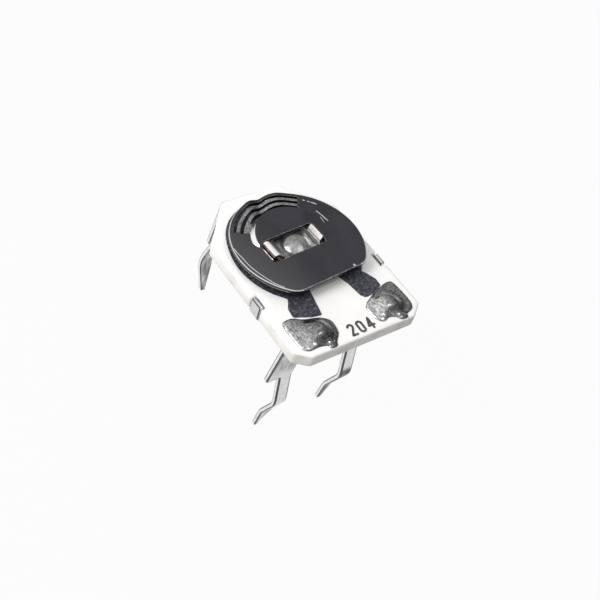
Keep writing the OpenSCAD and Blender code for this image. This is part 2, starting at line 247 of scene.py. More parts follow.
def smooth(points, per=6):
    """A closed curve through the points, with per points from each to the next."""
    p = np.array(points, float)
    out = []
    for i in range(len(p)):
        a, b, c, d = p[i - 1], p[i], p[(i + 1) % len(p)], p[(i + 2) % len(p)]
        for t in np.arange(per) / per:
            square = (2 * a - 5 * b + 4 * c - d) * t * t
            cube = (3 * b - a - 3 * c + d) * t ** 3
            out.append(tuple(0.5 * (2 * b + (c - a) * t + square + cube)))
    return out


def mirrored(points):
    """The points on the other side of x = 0, in reverse order."""
    return [(-x, y) for x, y in reversed(points)]


def dense(loop, step):
    """The same closed outline with points at most step apart, running counter-clockwise."""
    p = np.array(loop, float)
    p = p[np.linalg.norm(p - np.roll(p, 1, axis=0), axis=1) > 1e-4]
    q = np.roll(p, -1, axis=0)
    if (p[:, 0] * q[:, 1] - q[:, 0] * p[:, 1]).sum() < 0:
        p = p[::-1]
        q = np.roll(p, -1, axis=0)
    out = []
    for a, b in zip(p, q):
        n = max(1, int(np.ceil(np.linalg.norm(b - a) / step)))
        out += [a + (b - a) * k / n for k in range(n)]
    return np.array(out)


def inset(loop, d):
    """A counter-clockwise outline moved inwards by d, or outwards where d is negative."""
    before = loop - np.roll(loop, 1, axis=0)
    after = np.roll(loop, -1, axis=0) - loop
    n1 = np.c_[-before[:, 1], before[:, 0]] / np.linalg.norm(before, axis=1)[:, None]
    n2 = np.c_[-after[:, 1], after[:, 0]] / np.linalg.norm(after, axis=1)[:, None]
    n = n1 + n2
    n /= np.linalg.norm(n, axis=1)[:, None]
    return loop + n * d / np.maximum((n * n1).sum(1), 0.5)[:, None]


def inside(loop, p):
    """Which of the points p are inside the outline."""
    hit = np.zeros(len(p), bool)
    for a, b in zip(loop, np.roll(loop, -1, axis=0)):
        cross = (a[1] > p[:, 1]) != (b[1] > p[:, 1])
        if a[1] != b[1]:
            hit ^= cross & (p[:, 0] < (b[0] - a[0]) * (p[:, 1] - a[1]) / (b[1] - a[1]) + a[0])
    return hit


def within(loops, p):
    """Which of the points p are inside the first outline and outside the others."""
    keep = inside(loops[0], p)
    for loop in loops[1:]:
        keep &= ~inside(loop, p)
    return keep


def near(line, p):
    """Distance of each of the points p from an open line."""
    best = np.full(len(p), 1e9)
    for a, b in zip(line[:-1], line[1:]):
        ab = b - a
        t = np.clip(((p - a) @ ab) / (ab @ ab + 1e-12), 0, 1)
        best = np.minimum(best, np.linalg.norm(p - a - t[:, None] * ab, axis=1))
    return best


def distance(loop, p):
    """Distance of each of the points p from a closed outline."""
    return near(np.concatenate([loop, loop[:1]]), p)


def beside(line, d):
    """An open line moved to its left by d."""
    along = np.gradient(line, axis=0)
    return line + d * np.c_[-along[:, 1], along[:, 0]] / np.linalg.norm(along, axis=1)[:, None]


def polar(x, y):
    """Radius, and direction from 0 to 360 degrees."""
    return np.hypot(x, y), np.degrees(np.arctan2(y, x)) % 360


def step_up(x):
    """0 below 0, 1 above 1, smooth between."""
    x = np.clip(x, 0, 1)
    return x * x * (3 - 2 * x)


def shake(p, amount, per_mm, seed=0.0):
    """Smooth noise for each point, up to about amount."""
    offset = Vector((seed, seed * 0.7, seed * 1.3))
    return np.array([noise.noise(Vector(q) * per_mm + offset) for q in p]) * amount


# ---- meshes ------------------------------------------------------------------
# A shape is its points, its faces and the kind of each face.

FACE, EDGE, SIDE, UNDER = range(4)

# Steps round a bevel, from the face to the side: shares of its height and of its width
BEVEL = ((0, 1.0), (0.29, 0.29), (1.0, 0))


class Shell:
    """A shape while it is put together."""

    def __init__(self):
        self.points = []
        self.faces = []
        self.kinds = []

    def add_points(self, points):
        """Adds the points and returns their numbers."""
        first = len(self.points)
        self.points.extend(points.tolist())
        return list(range(first, len(self.points)))

    def add_face(self, face, kind):
        self.faces.append(tuple(face))
        self.kinds.append(kind)

    def shape(self):
        return np.array(self.points), self.faces, np.array(self.kinds)


def as_height(z):
    """A height over x and y, from a number or such a function."""
    return z if callable(z) else (lambda x, y: np.full(len(x), z))


def wall(shell, loop, heights, bevels, wide, is_hole):
    """The side of a sheet along one outline, with its bevels; returns the rims of both faces."""
    inwards = -1 if is_hole else 1
    rings = []
    for down, away in BEVEL:
        q = inset(loop, inwards * bevels[0] * away * wide)
        rings.append(shell.add_points(np.c_[q, heights[0](*q.T) - bevels[0] * down]))
    for down, away in reversed(BEVEL):
        q = inset(loop, inwards * bevels[1] * away)
        rings.append(shell.add_points(np.c_[q, heights[1](*q.T) + bevels[1] * down]))
    for k in range(5):
        for j in range(len(loop)):
            i = (j + 1) % len(loop)
            quad = (rings[k][j], rings[k + 1][j], rings[k + 1][i], rings[k][i])
            shell.add_face(quad[::-1] if is_hole else quad, SIDE if k == 2 else EDGE)
    return rings[0], rings[-1]


def filling(loops, lines, grid):
    """Points of a triangular grid between the loops, clear of them and of the lines."""
    low = loops[0].min(0)
    high = loops[0].max(0)
    xs = np.arange(low[0], high[0], grid)
    ys = np.arange(low[1], high[1], grid * 0.87)
    p = np.array([(x + (k % 2) * grid / 2, y) for k, y in enumerate(ys) for x in xs])
    keep = within(loops, p)
    for loop in loops:
        keep &= distance(loop, p) > 0.5 * grid
    for line in lines:
        keep &= np.min(np.linalg.norm(p[:, None] - line[None], axis=2), axis=1) > 0.45 * grid
    return p[keep]


def chain(first, count, closed):
    """The edges that join a run of points."""
    if closed:
        return [(first + j, first + (j + 1) % count) for j in range(count)]
    return [(first + j, first + j + 1) for j in range(count - 1)]


def cap(shell, rims, height, grid, lines, is_top):
    """One face of a sheet, in triangles between the rims of its outline and holes."""
    loops = [np.array([shell.points[v][:2] for v in rim]) for rim in rims]
    fill = filling(loops, lines, grid)
    inner = np.concatenate([fill, *lines])
    numbers = [v for rim in rims for v in rim] + shell.add_points(np.c_[inner, height(*inner.T)])
    edges = []
    at = 0
    for loop in loops:
        edges += chain(at, len(loop), True)
        at += len(loop)
    at += len(fill)
    for line in lines:
        edges += chain(at, len(line), False)
        at += len(line)
    flat = [Vector(q) for q in np.concatenate([*loops, inner])]
    verts, _, triangles, origin, _, _ = delaunay_2d_cdt(flat, edges, [], 0, 1e-6)
    centres = np.array([sum((verts[v] for v in t), Vector((0, 0))) / 3 for t in triangles])
    for t, keep in zip(triangles, within(loops, centres)):
        if not keep:
            continue
        if not all(origin[v] for v in t):
            raise ValueError(f"an outline crosses itself near {tuple(verts[t[0]])}")
        face = [numbers[origin[v][0]] for v in t]
        shell.add_face(face if is_top else face[::-1], FACE if is_top else UNDER)


def slab(outer, holes, over, under, bevel=0.05, grid=0.15, low_bevel=None, lines=(), wide=1.0):
    """A sheet between two heights, which may be functions of x and y, with rounded edges.

    bevel is one size or a list with one for each outline; low_bevel is for the lower edges, where
    they differ. wide widens the upper bevels. The mesh follows the open lines too."""
    heights = (as_height(over), as_height(under))
    loops = [dense(loop, grid) for loop in [outer] + holes]
    tops = bevel if isinstance(bevel, list) else [bevel] * len(loops)
    lows = tops if low_bevel is None else [low_bevel] * len(loops)
    shell = Shell()
    rims = [wall(shell, loop, heights, (top, low), wide, i > 0)
            for i, (loop, top, low) in enumerate(zip(loops, tops, lows))]
    cap(shell, [upper for upper, _ in rims], heights[0], grid, lines, True)
    cap(shell, [lower for _, lower in rims], heights[1], grid, lines, False)
    return shell.shape()


def lathe(profile, n=72):
    """A body turned about the Z axis from (radius, z) points, from the top down."""
    shell = Shell()
    turns = np.arange(n) * 2 * pi / n
    rings = [shell.add_points(np.array([(r * cos(t), r * sin(t), z) for t in turns])) for r, z in profile]
    for a, b in zip(rings[:-1], rings[1:]):
        for j in range(n):
            i = (j + 1) % n
            shell.add_face((a[j], b[j], b[i], a[i]), FACE)
    shell.add_face(rings[0], FACE)
    shell.add_face(rings[-1][::-1], FACE)
    return shell.shape()


def joined(*shapes):
    """Several shapes as one."""
    shell = Shell()
    for points, faces, kinds in shapes:
        numbers = shell.add_points(points)
        for face, kind in zip(faces, kinds):
            shell.add_face([numbers[v] for v in face], kind)
    return shell.shape()


class Bend:
    """A path in a plane with rounded corners, along which a flat blank is bent."""

    def __init__(self, corners, radii):
        corners = [np.array(q, float) for q in corners]
        p = [corners[0]]
        for before, at, after, r in zip(corners, corners[1:], corners[2:], radii):
            first, last, centre = corner(before, at, after, r, 0.45)
            for t in np.linspace(0, 1, 13):
                q = (first - centre) * (1 - t) + (last - centre) * t
                p.append(centre + q / np.linalg.norm(q) * np.linalg.norm(first - centre))
        p.append(corners[-1])
        self.points = np.array(p)
        steps = np.diff(self.points, axis=0)
        self.reached = np.r_[0, np.cumsum(np.linalg.norm(steps, axis=1))]
        self.middles = (self.reached[1:] + self.reached[:-1]) / 2
        self.headings = np.unwrap(np.arctan2(steps[:, 1], steps[:, 0]))

    def length(self):
        """Length of the whole path."""
        return self.reached[-1]

    def at(self, value, axis=1):
        """Distance along the path where its coordinate on axis first reaches value."""
        c = self.points[:, axis]
        for i in range(len(c) - 1):
            if (c[i] - value) * (c[i + 1] - value) <= 0 and c[i] != c[i + 1]:
                share = (value - c[i]) / (c[i + 1] - c[i])
                return self.reached[i] + share * (self.reached[i + 1] - self.reached[i])
        return self.length()

    def __call__(self, s, off):
        """Points at distance s along the path and off to the left of it."""
        heading = np.interp(s, self.middles, self.headings)
        x = np.interp(s, self.reached, self.points[:, 0])
        y = np.interp(s, self.reached, self.points[:, 1])
        return x - off * np.sin(heading), y + off * np.cos(heading)


def bent(blank, path, plane, flip=1):
    """A blank (across, along, thickness) bent along a path in the yz or xz plane.

    flip is -1 where the blank's top face lies to the right of the path."""
    points, faces, kinds = blank
    u, v = path(points[:, 1], flip * points[:, 2])
    across = points[:, 0]
    return np.c_[across, u, v] if plane == "yz" else np.c_[u, across, v], faces, kinds


def turned(shape, angle):
    """The shape turned about the Z axis by an angle in degrees."""
    points, faces, kinds = shape
    c = cos(radians(angle))
    s = sin(radians(angle))
    return points @ np.array([[c, s, 0], [-s, c, 0], [0, 0, 1]]), faces, kinds


def middles(points, faces):
    """Middle point of each face."""
    return np.array([points[list(f)].mean(0) for f in faces])


def piece(name, shape, looks, body, replaced, sharp=40):
    """A new object from a shape in millimetres, in place of the CAD nodes that it stands for.

    looks has a material for each kind of face, the last one also for the kinds after it."""
    points, faces, kinds = shape
    me = bpy.data.meshes.new(name)
    me.from_pydata([tuple(float(c) * MM for c in q) for q in points], [], faces)
    for look in looks:
        me.materials.append(look)
    me.polygons.foreach_set("material_index", np.minimum(kinds, len(looks) - 1).astype(np.int32))
    me.polygons.foreach_set("use_smooth", np.ones(len(faces), bool))
    me.set_sharp_from_angle(angle=radians(sharp))
    me.validate()
    o = bpy.data.objects.new(name, me)
    bpy.context.scene.collection.objects.link(o)
    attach(o, body)
    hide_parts(*replaced)


# ---- materials --------------------------------------------------------------


class Mat:
    """A node-based material, with short calls for the nodes that it needs."""

    def __init__(self, name, color, metallic=0.0, roughness=0.5):
        self.m = bpy.data.materials.new(name)
        self.m.use_nodes = True
        self.t = self.m.node_tree
        self.b = self.t.nodes["Principled BSDF"]
        self.b.inputs["Base Color"].default_value = (*color, 1)
        self.b.inputs["Metallic"].default_value = metallic
        self.b.inputs["Roughness"].default_value = roughness
        self.coord = self.node("ShaderNodeTexCoord").outputs["Object"]

    def node(self, kind, **props):
        n = self.t.nodes.new(kind)
        for key, value in props.items():
            setattr(n, key, value)
        return n

    def link(self, a, b):
        self.t.links.new(a, b)

    def noise(self, per_mm, detail=3.0, rough=0.55, stretch=(1, 1, 1)):
        """Noise with about per_mm features in each millimetre."""
        mapping = self.node("ShaderNodeMapping")
        mapping.inputs["Scale"].default_value = stretch
        self.link(self.coord, mapping.inputs["Vector"])
        n = self.node("ShaderNodeTexNoise")
        n.inputs["Scale"].default_value = per_mm / MM
        n.inputs["Detail"].default_value = detail
        n.inputs["Roughness"].default_value = rough
        self.link(mapping.outputs["Vector"], n.inputs["Vector"])
        return n.outputs["Fac"]

    def along(self, direction, start, end):
        """0 before start millimetres along a direction, 1 past end."""
        dot = self.node("ShaderNodeVectorMath", operation="DOT_PRODUCT")
        dot.inputs[1].default_value = Vector(direction).normalized() / MM
        self.link(self.coord, dot.inputs[0])
        n = self.node("ShaderNodeMapRange", interpolation_type="SMOOTHSTEP")
        n.inputs["From Min"].default_value = start
        n.inputs["From Max"].default_value = end
        self.link(dot.outputs["Value"], n.inputs["Value"])
        return n.outputs["Result"]

    def ramp(self, source, *stops):
        """A colour ramp with a (place, colour or value) pair for each stop."""
        r = self.node("ShaderNodeValToRGB")
        while len(r.color_ramp.elements) < len(stops):
            r.color_ramp.elements.new(0.5)
        for e, (at, c) in zip(r.color_ramp.elements, stops):
            e.position = at
            e.color = (*c, 1) if isinstance(c, tuple) else (c, c, c, 1)
        self.link(source, r.inputs["Fac"])
        return r.outputs["Color"]

    def mix(self, share, a, b):
        """Colour a turning into colour b with the share; b may be a plain colour."""
        m = self.node("ShaderNodeMix", data_type="RGBA")
        # the node's sockets for colours are inputs 6 and 7 and output 2
        self.link(share, m.inputs[0])
        self.link(a, m.inputs[6])
        if isinstance(b, tuple):
            m.inputs[7].default_value = (*b, 1)
        else:
            self.link(b, m.inputs[7])
        return m.outputs[2]

    def color(self, source):
        self.link(source, self.b.inputs["Base Color"])

    def rough(self, source):
        self.link(source, self.b.inputs["Roughness"])

    def bump(self, source, depth_mm, strength=1.0):
        n = self.node("ShaderNodeBump")
        n.inputs["Strength"].default_value = strength
        n.inputs["Distance"].default_value = depth_mm * MM
        self.link(source, n.inputs["Height"])
        self.link(n.outputs["Normal"], self.b.inputs["Normal"])


def grey(v):
    return (v, v, v)


def ceramic_look():
    """White alumina with faint clouds and a fine grain."""
    m = Mat("ceramic", (0.92, 0.91, 0.89), roughness=0.45)
    m.color(m.ramp(m.noise(0.45, 5), (0.3, (0.88, 0.86, 0.83)), (0.65, (0.93, 0.93, 0.915))))
    m.bump(m.noise(9, 4), 0.008, 0.4)
    return m.m


def ceramic_side_look():
    """The sides of the plate, a little stained."""
    m = Mat("ceramic_side", (0.85, 0.83, 0.8), roughness=0.5)
    stain = (0.74, 0.68, 0.62)
    m.color(m.ramp(m.noise(0.7, 5), (0.34, stain), (0.5, (0.86, 0.84, 0.81)), (0.65, (0.9, 0.89, 0.87))))
    m.bump(m.noise(9, 4), 0.008, 0.4)
    return m.m


def film_look():
    """Printed resistive film: bluish black, with paler and smoother grains."""
    m = Mat("resistive_film", (0.02, 0.02, 0.025), roughness=0.5)
    grain = m.noise(5.5, 5, 0.75)
    pale = (0.15, 0.15, 0.18)
    m.color(m.ramp(grain, (0.38, (0.012, 0.012, 0.020)), (0.52, (0.038, 0.038, 0.054)), (0.68, pale)))
    m.rough(m.ramp(grain, (0.4, 0.65), (0.7, 0.35)))
    m.bump(m.noise(8, 4), 0.02, 0.5)
    return m.m


def tin_look(name, base, rough=0.3, speck=0.85):
    """Mottled grey metal; its dark specks have speck times its brightness."""
    m = Mat(name, grey(base), 1.0, rough)
    m.color(m.ramp(m.noise(3.5, 5, 0.62), (0.32, grey(base * speck)), (0.68, grey(min(1, base * 1.12)))))
    m.bump(m.noise(9, 4), 0.01, 0.45)
    return m.m


def shaded_tin_look(name, dark, direction, start, end, light=0.68):
    """Tin with painted shade: it turns dark and streaky along a direction, between two distances in
    millimetres.
    """
    m = Mat(name, grey(light), 1.0, 0.3)
    grain = m.noise(4, 5, 0.65)
    pale = m.ramp(grain, (0.35, grey(0.88 * light)), (0.65, grey(min(1, 1.1 * light))))
    streaks = m.noise(3, 4, 0.65, (1, 1, 0.3))
    shade_tone = m.ramp(streaks, (0.36, grey(0.55 * dark)), (0.64, grey(1.7 * dark)))
    # painted shade past end along the direction
    m.color(m.mix(m.along(direction, start, end), pale, shade_tone))
    m.bump(grain, 0.012, 0.45)
    return m.m


def solder_look(name, start, end):
    """Frozen solder: pale and grainy where it is thin at the left; over the joint smooth, with a painted
    dark reflection.
    """
    m = Mat(name, grey(0.4), 1.0, 0.24)
    grain = m.noise(7, 4, 0.7)
    streaks = m.noise(10, 4, 0.7, (1, 0.45, 1))
    thin = m.ramp(streaks, (0.36, grey(0.2)), (0.48, grey(0.45)), (0.62, grey(0.85)))
    joint_reflection = m.ramp(grain, (0.36, grey(0.11)), (0.54, grey(0.22)), (0.68, grey(0.6)))
    # painted dark reflection over the joint, from start to end along the direction
    m.color(m.mix(m.along((1, 0.25, 0), start, end), thin, joint_reflection))
    m.bump(m.noise(5, 3), 0.012, 0.4)
    return m.m


def dark_mirror_look():
    """Polished dark plating with patches of uneven gloss, and a painted reflection that makes it paler
    towards the left.
    """
    m = Mat("dark_mirror", (0.07, 0.065, 0.072), 1.0, 0.16)
    deep = m.ramp(m.noise(0.5, 3), (0.3, (0.054, 0.052, 0.06)), (0.7, (0.074, 0.072, 0.082)))
    # painted reflection: paler towards the left
    m.color(m.mix(m.along((-1, -0.3, 0), 0.5, 4.5), deep, (0.125, 0.122, 0.128)))
    m.rough(m.ramp(m.noise(2.5, 5, 0.65), (0.3, 0.12), (0.75, 0.24)))
    m.bump(m.noise(5, 3), 0.002, 0.25)
    return m.m


def worn_look():
    """The contact fingers, worn grey and pitted."""
    m = Mat("worn_finger", grey(0.15), 1.0, 0.4)
    m.color(m.ramp(m.noise(11, 4, 0.7), (0.36, grey(0.12)), (0.5, (0.26, 0.26, 0.27)), (0.66, grey(0.6))))
    m.bump(m.noise(12, 3), 0.02, 0.7)
    return m.m


def clip_look():
    """Bright plating with a few bronze patches."""
    m = Mat("clip_plating", (0.8, 0.76, 0.75), 1.0, 0.2)
    bronze = (0.42, 0.32, 0.30)
    m.color(m.ramp(m.noise(3.5, 4), (0.32, bronze), (0.55, (0.85, 0.80, 0.79)), (0.7, (0.97, 0.94, 0.93))))
    m.bump(m.noise(6, 3), 0.01, 0.4)
    return m.m


def lug_highlight_look():
    """The lugs' lit faces, a painted highlight: pale and satin, a little pink in patches."""
    m = Mat("clip_lug_painted_highlight", (0.9, 0.88, 0.86), 0.4, 0.3)
    m.color(m.ramp(m.noise(3, 4), (0.3, (0.72, 0.62, 0.6)), (0.45, (0.93, 0.9, 0.88))))
    m.bump(m.noise(6, 3), 0.01, 0.4)
    return m.m


def copper_look():
    """The sheared edges of the clip, where the metal under the plating shows."""
    m = Mat("clip_sheared_edge", (0.35, 0.2, 0.17), 1.0, 0.35)
    m.color(m.ramp(m.noise(7, 4), (0.35, (0.09, 0.045, 0.045)), (0.6, (0.38, 0.25, 0.23))))
    return m.m


def ink_look():
    """Printed ink, a little uneven."""
    m = Mat("ink", (0.05, 0.05, 0.055), roughness=0.6)
    m.color(m.ramp(m.noise(6, 3), (0.4, (0.035, 0.035, 0.04)), (0.7, (0.09, 0.09, 0.1))))
    return m.m


CERAMIC = ceramic_look()
CERAMIC_SIDE = ceramic_side_look()
FILM = film_look()
INK = ink_look()
SOLDER = {"left": solder_look("solder_left", -5.2, -4.0), "right": solder_look("solder_right", 0.4, 1.4)}

# Painted shade: a shadow on the left leg under the plate, a dark reflection on the right and rear pins
# below their kinks.
STRIP = {"left": shaded_tin_look("tin_left", 0.33, (0.4, 0, 1), -5.8, -4.4),
         "right": shaded_tin_look("tin_right", 0.07, (0, 0, -1), 6.7, 7.2),
         "wiper": shaded_tin_look("tin_rear", 0.32, (0, 0, -1), 5.7, 6.1)}
# Bright cut sides: sheared metal, partly a painted highlight; the rolled edges of terminals and solder
# carry a painted dark reflection
CUT_EDGE_AND_HIGHLIGHT = tin_look("tin_cut_edge_and_painted_highlight", 0.8, 0.25)
DARK_REFLECTION_EDGE = tin_look("tin_edge_painted_dark_reflection", 0.08)

MIRROR = dark_mirror_look()
# Bright bevels round the disc: bare metal at the stamped edge, partly a painted highlight
RIM = tin_look("disc_rim", 0.75, 0.22)
DISC_SIDE = tin_look("disc_cut_side", 0.07, 0.4)
# Painted highlight on the disc's crescent, rim line and slot ends; the same bright metal marks its real
# scratches
SCRATCHES_AND_HIGHLIGHT = tin_look("disc_scratches_and_painted_highlight", 0.95, 0.3, 0.95)
WORN = worn_look()
PLATING = clip_look()
COPPER = copper_look()
# Painted highlight on the lugs' lit faces; painted shade on the strap and the feet of the lugs
LUG_HIGHLIGHT = lug_highlight_look()
STRAP_SHADE = tin_look("clip_painted_shade", 0.42, 0.45)
RIVET = tin_look("rivet_tin", 0.42, 0.32, 0.45)

# ---- ceramic plate, film and solder ---------------------------------------------

SIDES = {"left": -1, "right": 1}

# Points of the track's two legs past the horseshoe, from its outer edge to its inner edge
LEFT_LEG = [(-2.7, -3.15), (-3.06, -3.67), (-3.13, -4.3), (-2.76, -4.44), (-2.1, -4.7), (-1.48, -4.8),
            (-1.08, -2.95)]
RIGHT_LEG = [(1.1, -2.78), (1.34, -3.46), (1.5, -4.5), (1.72, -4.76), (2.21, -4.72), (3.1, -4.36),
             (3.14, -3.85), (2.86, -3.25)]

# Points through which the edges of the two solder joints run
SOLDER_EDGE = {
    "left": [(-4.03, -4.6), (-3.9, -4.36), (-3.6, -4.29), (-3.22, -4.33), (-2.68, -4.62), (-1.78, -4.87),
             (-1.3, -5.22), (-1.21, -5.6), (-1.33, -6.2), (-1.76, -6.68), (-1.95, -6.96), (-2.36, -6.95),
             (-2.46, -6.73), (-2.95, -6.61), (-3.6, -6.62), (-3.95, -6.32), (-4.03, -5.5)],
    "right": [(1.28, -5.3), (1.85, -4.91), (2.93, -4.46), (3.6, -4.31), (3.93, -4.45), (4.03, -5.2),
              (4.04, -6.1), (3.8, -6.54), (3.3, -6.74), (3.16, -6.96), (2.72, -6.95), (2.5, -6.69),
              (2.1, -6.54), (1.64, -6.64), (1.3, -6.36), (1.21, -5.8)]}


def circle(x, y, r):
    """Points round a whole circle."""
    return arc((x, y), r, 0, 355)


def ceramic_plate():
    """Plate with cut corners, a notch on each side, the rivet's bore and two holes for the tongues."""
    notch = STRIP_T + TAB_GAP
    low = TAB_Y - TAB_W / 2 - TAB_GAP
    high = TAB_Y + TAB_W / 2 + TAB_GAP
    x = PLATE_HALF
    half = [(x - FRONT_CUT[0], -PLATE_FRONT), (x, FRONT_CUT[1] - PLATE_FRONT), (x, low), (x - notch, low),
            (x - notch, high), (x, high), (x, PLATE_REAR - REAR_CUT[1]), (x - REAR_CUT[0], PLATE_REAR)]
    radii = [0.35, 0.35, 0.13, 0.03, 0.03, 0.13, 0.4, 0.5]
    outer = rounded(half + mirrored(half), radii + radii[::-1])
    holes = [circle(0, 0, BORE_R)] + [circle(side * PIN_X, JOINT_Y, LEAD_HOLE_R) for side in SIDES.values()]
    shape = slab(outer, holes, 0, -PLATE_T, bevel=0.1, grid=0.25)
    looks = [CERAMIC, CERAMIC, CERAMIC_SIDE]
    piece("ceramic_plate", shape, looks, "base", ["ceramic_base"], sharp=50)


def track_edge(x, y):
    """A point of the track's outer edge, which bulges at the rear left."""
    share = float(step_up((BULGE_TO - degrees(atan2(y, x))) / 45)) if x < 0 < y else 0
    return tuple((hypot(x, y) + TRACK_BULGE * share) * Vector((x, y)).normalized())


def track():
    """A horseshoe of film whose two legs run to the solder."""
    outer = [track_edge(x, y) for x, y in arc((0, 0), TRACK_R, -47, 228)]
    inner = arc((0, 0), TRACK_IN, 246, -66)
    left = rounded([(-2.7, -3.0)] + LEFT_LEG + [(-1.0, -2.3)], 0.12)[1:-1]
    right = rounded([(1.0, -2.3)] + RIGHT_LEG + [(2.7, -3.0)], 0.12)[1:-1]
    shape = slab(outer + left + inner + right, [], FILM_T, 0, bevel=0.012, grid=0.2, low_bevel=0.001)
    points = shape[0]
    points[:, 2] += np.where(points[:, 2] > FILM_T / 2, shake(points, 0.006, 3), 0)
    piece("track_film", shape, [FILM], "base", ["resistive_track"])


def solder_joint(name):
    """Solder over one electrode: a thin tinned skin, a dome over the terminal, a run at the front."""
    side = SIDES[name]
    loop = dense(smooth(SOLDER_EDGE[name]), 0.08)

    def height(x, y):
        from_edge = distance(loop, np.c_[x, y])
        from_dome = np.hypot(x - side * PIN_X, y - DOME_Y) / DOME_R
        skin = SKIN_T + SWELL_H * step_up(from_edge / SWELL_W)
        dome = DOME_H * step_up((1 - from_dome) * 1.15) * step_up(from_edge / DOME_MARGIN)
        uneven = shake(np.c_[x, y, 0 * x], 0.02, 1.7, side) * step_up(from_edge / 0.2)
        return skin + dome + uneven

    shape = slab(loop, [], height, 0, bevel=0.035, grid=0.08, low_bevel=0.002)
    # the solder's edge takes the same painted dark reflection
    looks = [SOLDER[name], SOLDER[name], DARK_REFLECTION_EDGE]
    nodes = ["solder_" + name, "electrode_" + name]
    piece("solder_on_" + name, shape, looks, "base", nodes, sharp=70)


# ---- terminals ---------------------------------------------------------------


def strip_looks(name):
    """Materials of a terminal: its own on both faces, a painted dark reflection on the rolled edges, bright
    cut sides that are partly a painted highlight.
    """
    return [STRIP[name], DARK_REFLECTION_EDGE, CUT_EDGE_AND_HIGHLIGHT, STRIP[name]]


def end_terminal(name):
    """A strip with a tongue through the plate, a wide leg with one shoulder, and a kinked pin."""
    top_y = JOINT_Y + END_OUT
    seat_y = top_y + (STRIP_Z - BOARD_Z) * tan(radians(END_LEAN))
    kick = (seat_y + END_KICK[0], BOARD_Z + END_KICK[1])
    back = (kick[0] + END_BACK[0], kick[1] + END_BACK[1])
    tip = (kick[0] + END_TIP_Y, END_TIP_Z)
    leg = [(seat_y, BOARD_Z), (top_y, STRIP_Z), (JOINT_Y, STRIP_Z), (JOINT_Y, TONGUE_TOP)]
    path = Bend([tip, back, kick] + leg, END_RADII)
    taper = path.at(kick[1])
    shoulder = path.at(BOARD_Z)
    root = path.at(-PLATE_T)
    end = path.length()
    x = SIDES[name] * PIN_X
    w = PIN_W / 2
    blank = [(x - TIP_W / 2, 0), (x + TIP_W / 2, 0), (x + w, taper), (x + w, end), (x - TONGUE_W / 2, end),
             (x - TONGUE_W / 2, root), (x + w - END_W, root), (x + w - END_W, shoulder), (x - w, shoulder),
             (x - w, taper)]
    outline = rounded(blank, [0.14, 0.14, 0.5, 0.14, 0.14, 0, 0.14, 0.25, 0.08, 0.5])
    flat = slab(outline, [], STRIP_T / 2, -STRIP_T / 2, bevel=0.07, grid=0.12, wide=1.7)
    piece("terminal_" + name, bent(flat, path, "yz"), strip_looks(name), "base", ["end_terminal_" + name])


def wiper_leg():
    """Ring under the plate, and from it a leg that bends down at the rear and ends in a pin."""
    top_y = PLATE_REAR + WIPER_OUT
    seat_y = top_y + (STRIP_Z - BOARD_Z) * tan(radians(WIPER_LEAN))
    kick = (seat_y + WIPER_KICK[0], BOARD_Z + WIPER_KICK[1])
    tip = (kick[0] + WIPER_TIP_Y, WIPER_TIP_Z)
    path = Bend([tip, kick, (seat_y, BOARD_Z), (top_y, STRIP_Z), (TAB_Y, STRIP_Z)], WIPER_RADII)
    taper = path.at(kick[1] - WIPER_TAPER)
    shoulder = path.at(WIPER_LOW)
    middle = path.at(0, axis=0)
    end = path.length()
    w = PIN_W / 2
    wide = WIPER_W / 2
    foot = np.sqrt(RING_R ** 2 - wide ** 2)
    neck = np.sqrt(RING_R ** 2 - PIN_W ** 2)
    ring = arc((0, middle), RING_R, -degrees(atan2(foot, wide)), degrees(atan2(neck, PIN_W)))
    leg = [(0, 0), (TIP_W / 2, 0), (w, taper), (w, shoulder), (wide, shoulder), (wide, middle - foot)]
    half = rounded(leg, [0, 0.14, 0.5, 0.08, 0.25, 0])[1:-1] + ring + [(PIN_W, end)]
    flat = slab(half + mirrored(half), [circle(0, middle, BORE_R)], STRIP_T / 2, -STRIP_T / 2,
                bevel=0.05, grid=0.13, wide=1.35)
    return bent(flat, path, "yz")


def cross_bar():
    """Bar across under the plate, with a tab up each side into the plate's notches."""
    x = PLATE_HALF - STRIP_T / 2
    path = Bend([(-x, 0), (-x, STRIP_Z), (x, STRIP_Z), (x, 0)], [0.19, 0.19])
    y0 = TAB_Y - TAB_W / 2
    y1 = TAB_Y + TAB_W / 2
    outline = rounded([(y0, 0), (y1, 0), (y1, path.length()), (y0, path.length())], 0.08)
    flat = slab(outline, [], STRIP_T / 2, -STRIP_T / 2, bevel=0.05, grid=0.12)
    return bent(flat, path, "xz", flip=-1)


def wiper_terminal():
    shape = joined(wiper_leg(), cross_bar())
    piece("terminal_wiper", shape, strip_looks("wiper"), "base", ["wiper_terminal"])


# ---- rotor -------------------------------------------------------------------

# Kinds of face past the usual four: the disc's bright marks (painted highlights and scratches) and fingers,
# the clip's painted highlight on the lugs and painted shade on the strap
BRIGHT_MARK, FINGER = 4, 5
LIT_LUG_FACE, SHADED_FACE = 4, 5


def finger_slot(i):
    """Outline of slot i between the contact fingers, counted from the rim, with round ends."""
    mid = DISC_R - i * FINGER_STEP + 0.08
    r = SLOT_W / 2
    start = SLOT_FROM
    end = SLOT_TO - (SHORT_SLOT if i == 3 else 0)
    first = (mid * cos(radians(start)), mid * sin(radians(start)))
    last = (mid * cos(radians(end)), mid * sin(radians(end)))
    return (arc((0, 0), mid + r, start, end) + arc(last, r, end, end + 180, 0.04)[1:-1]
            + arc((0, 0), mid - r, end, start) + arc(first, r, start + 180, start + 360, 0.04)[1:-1])


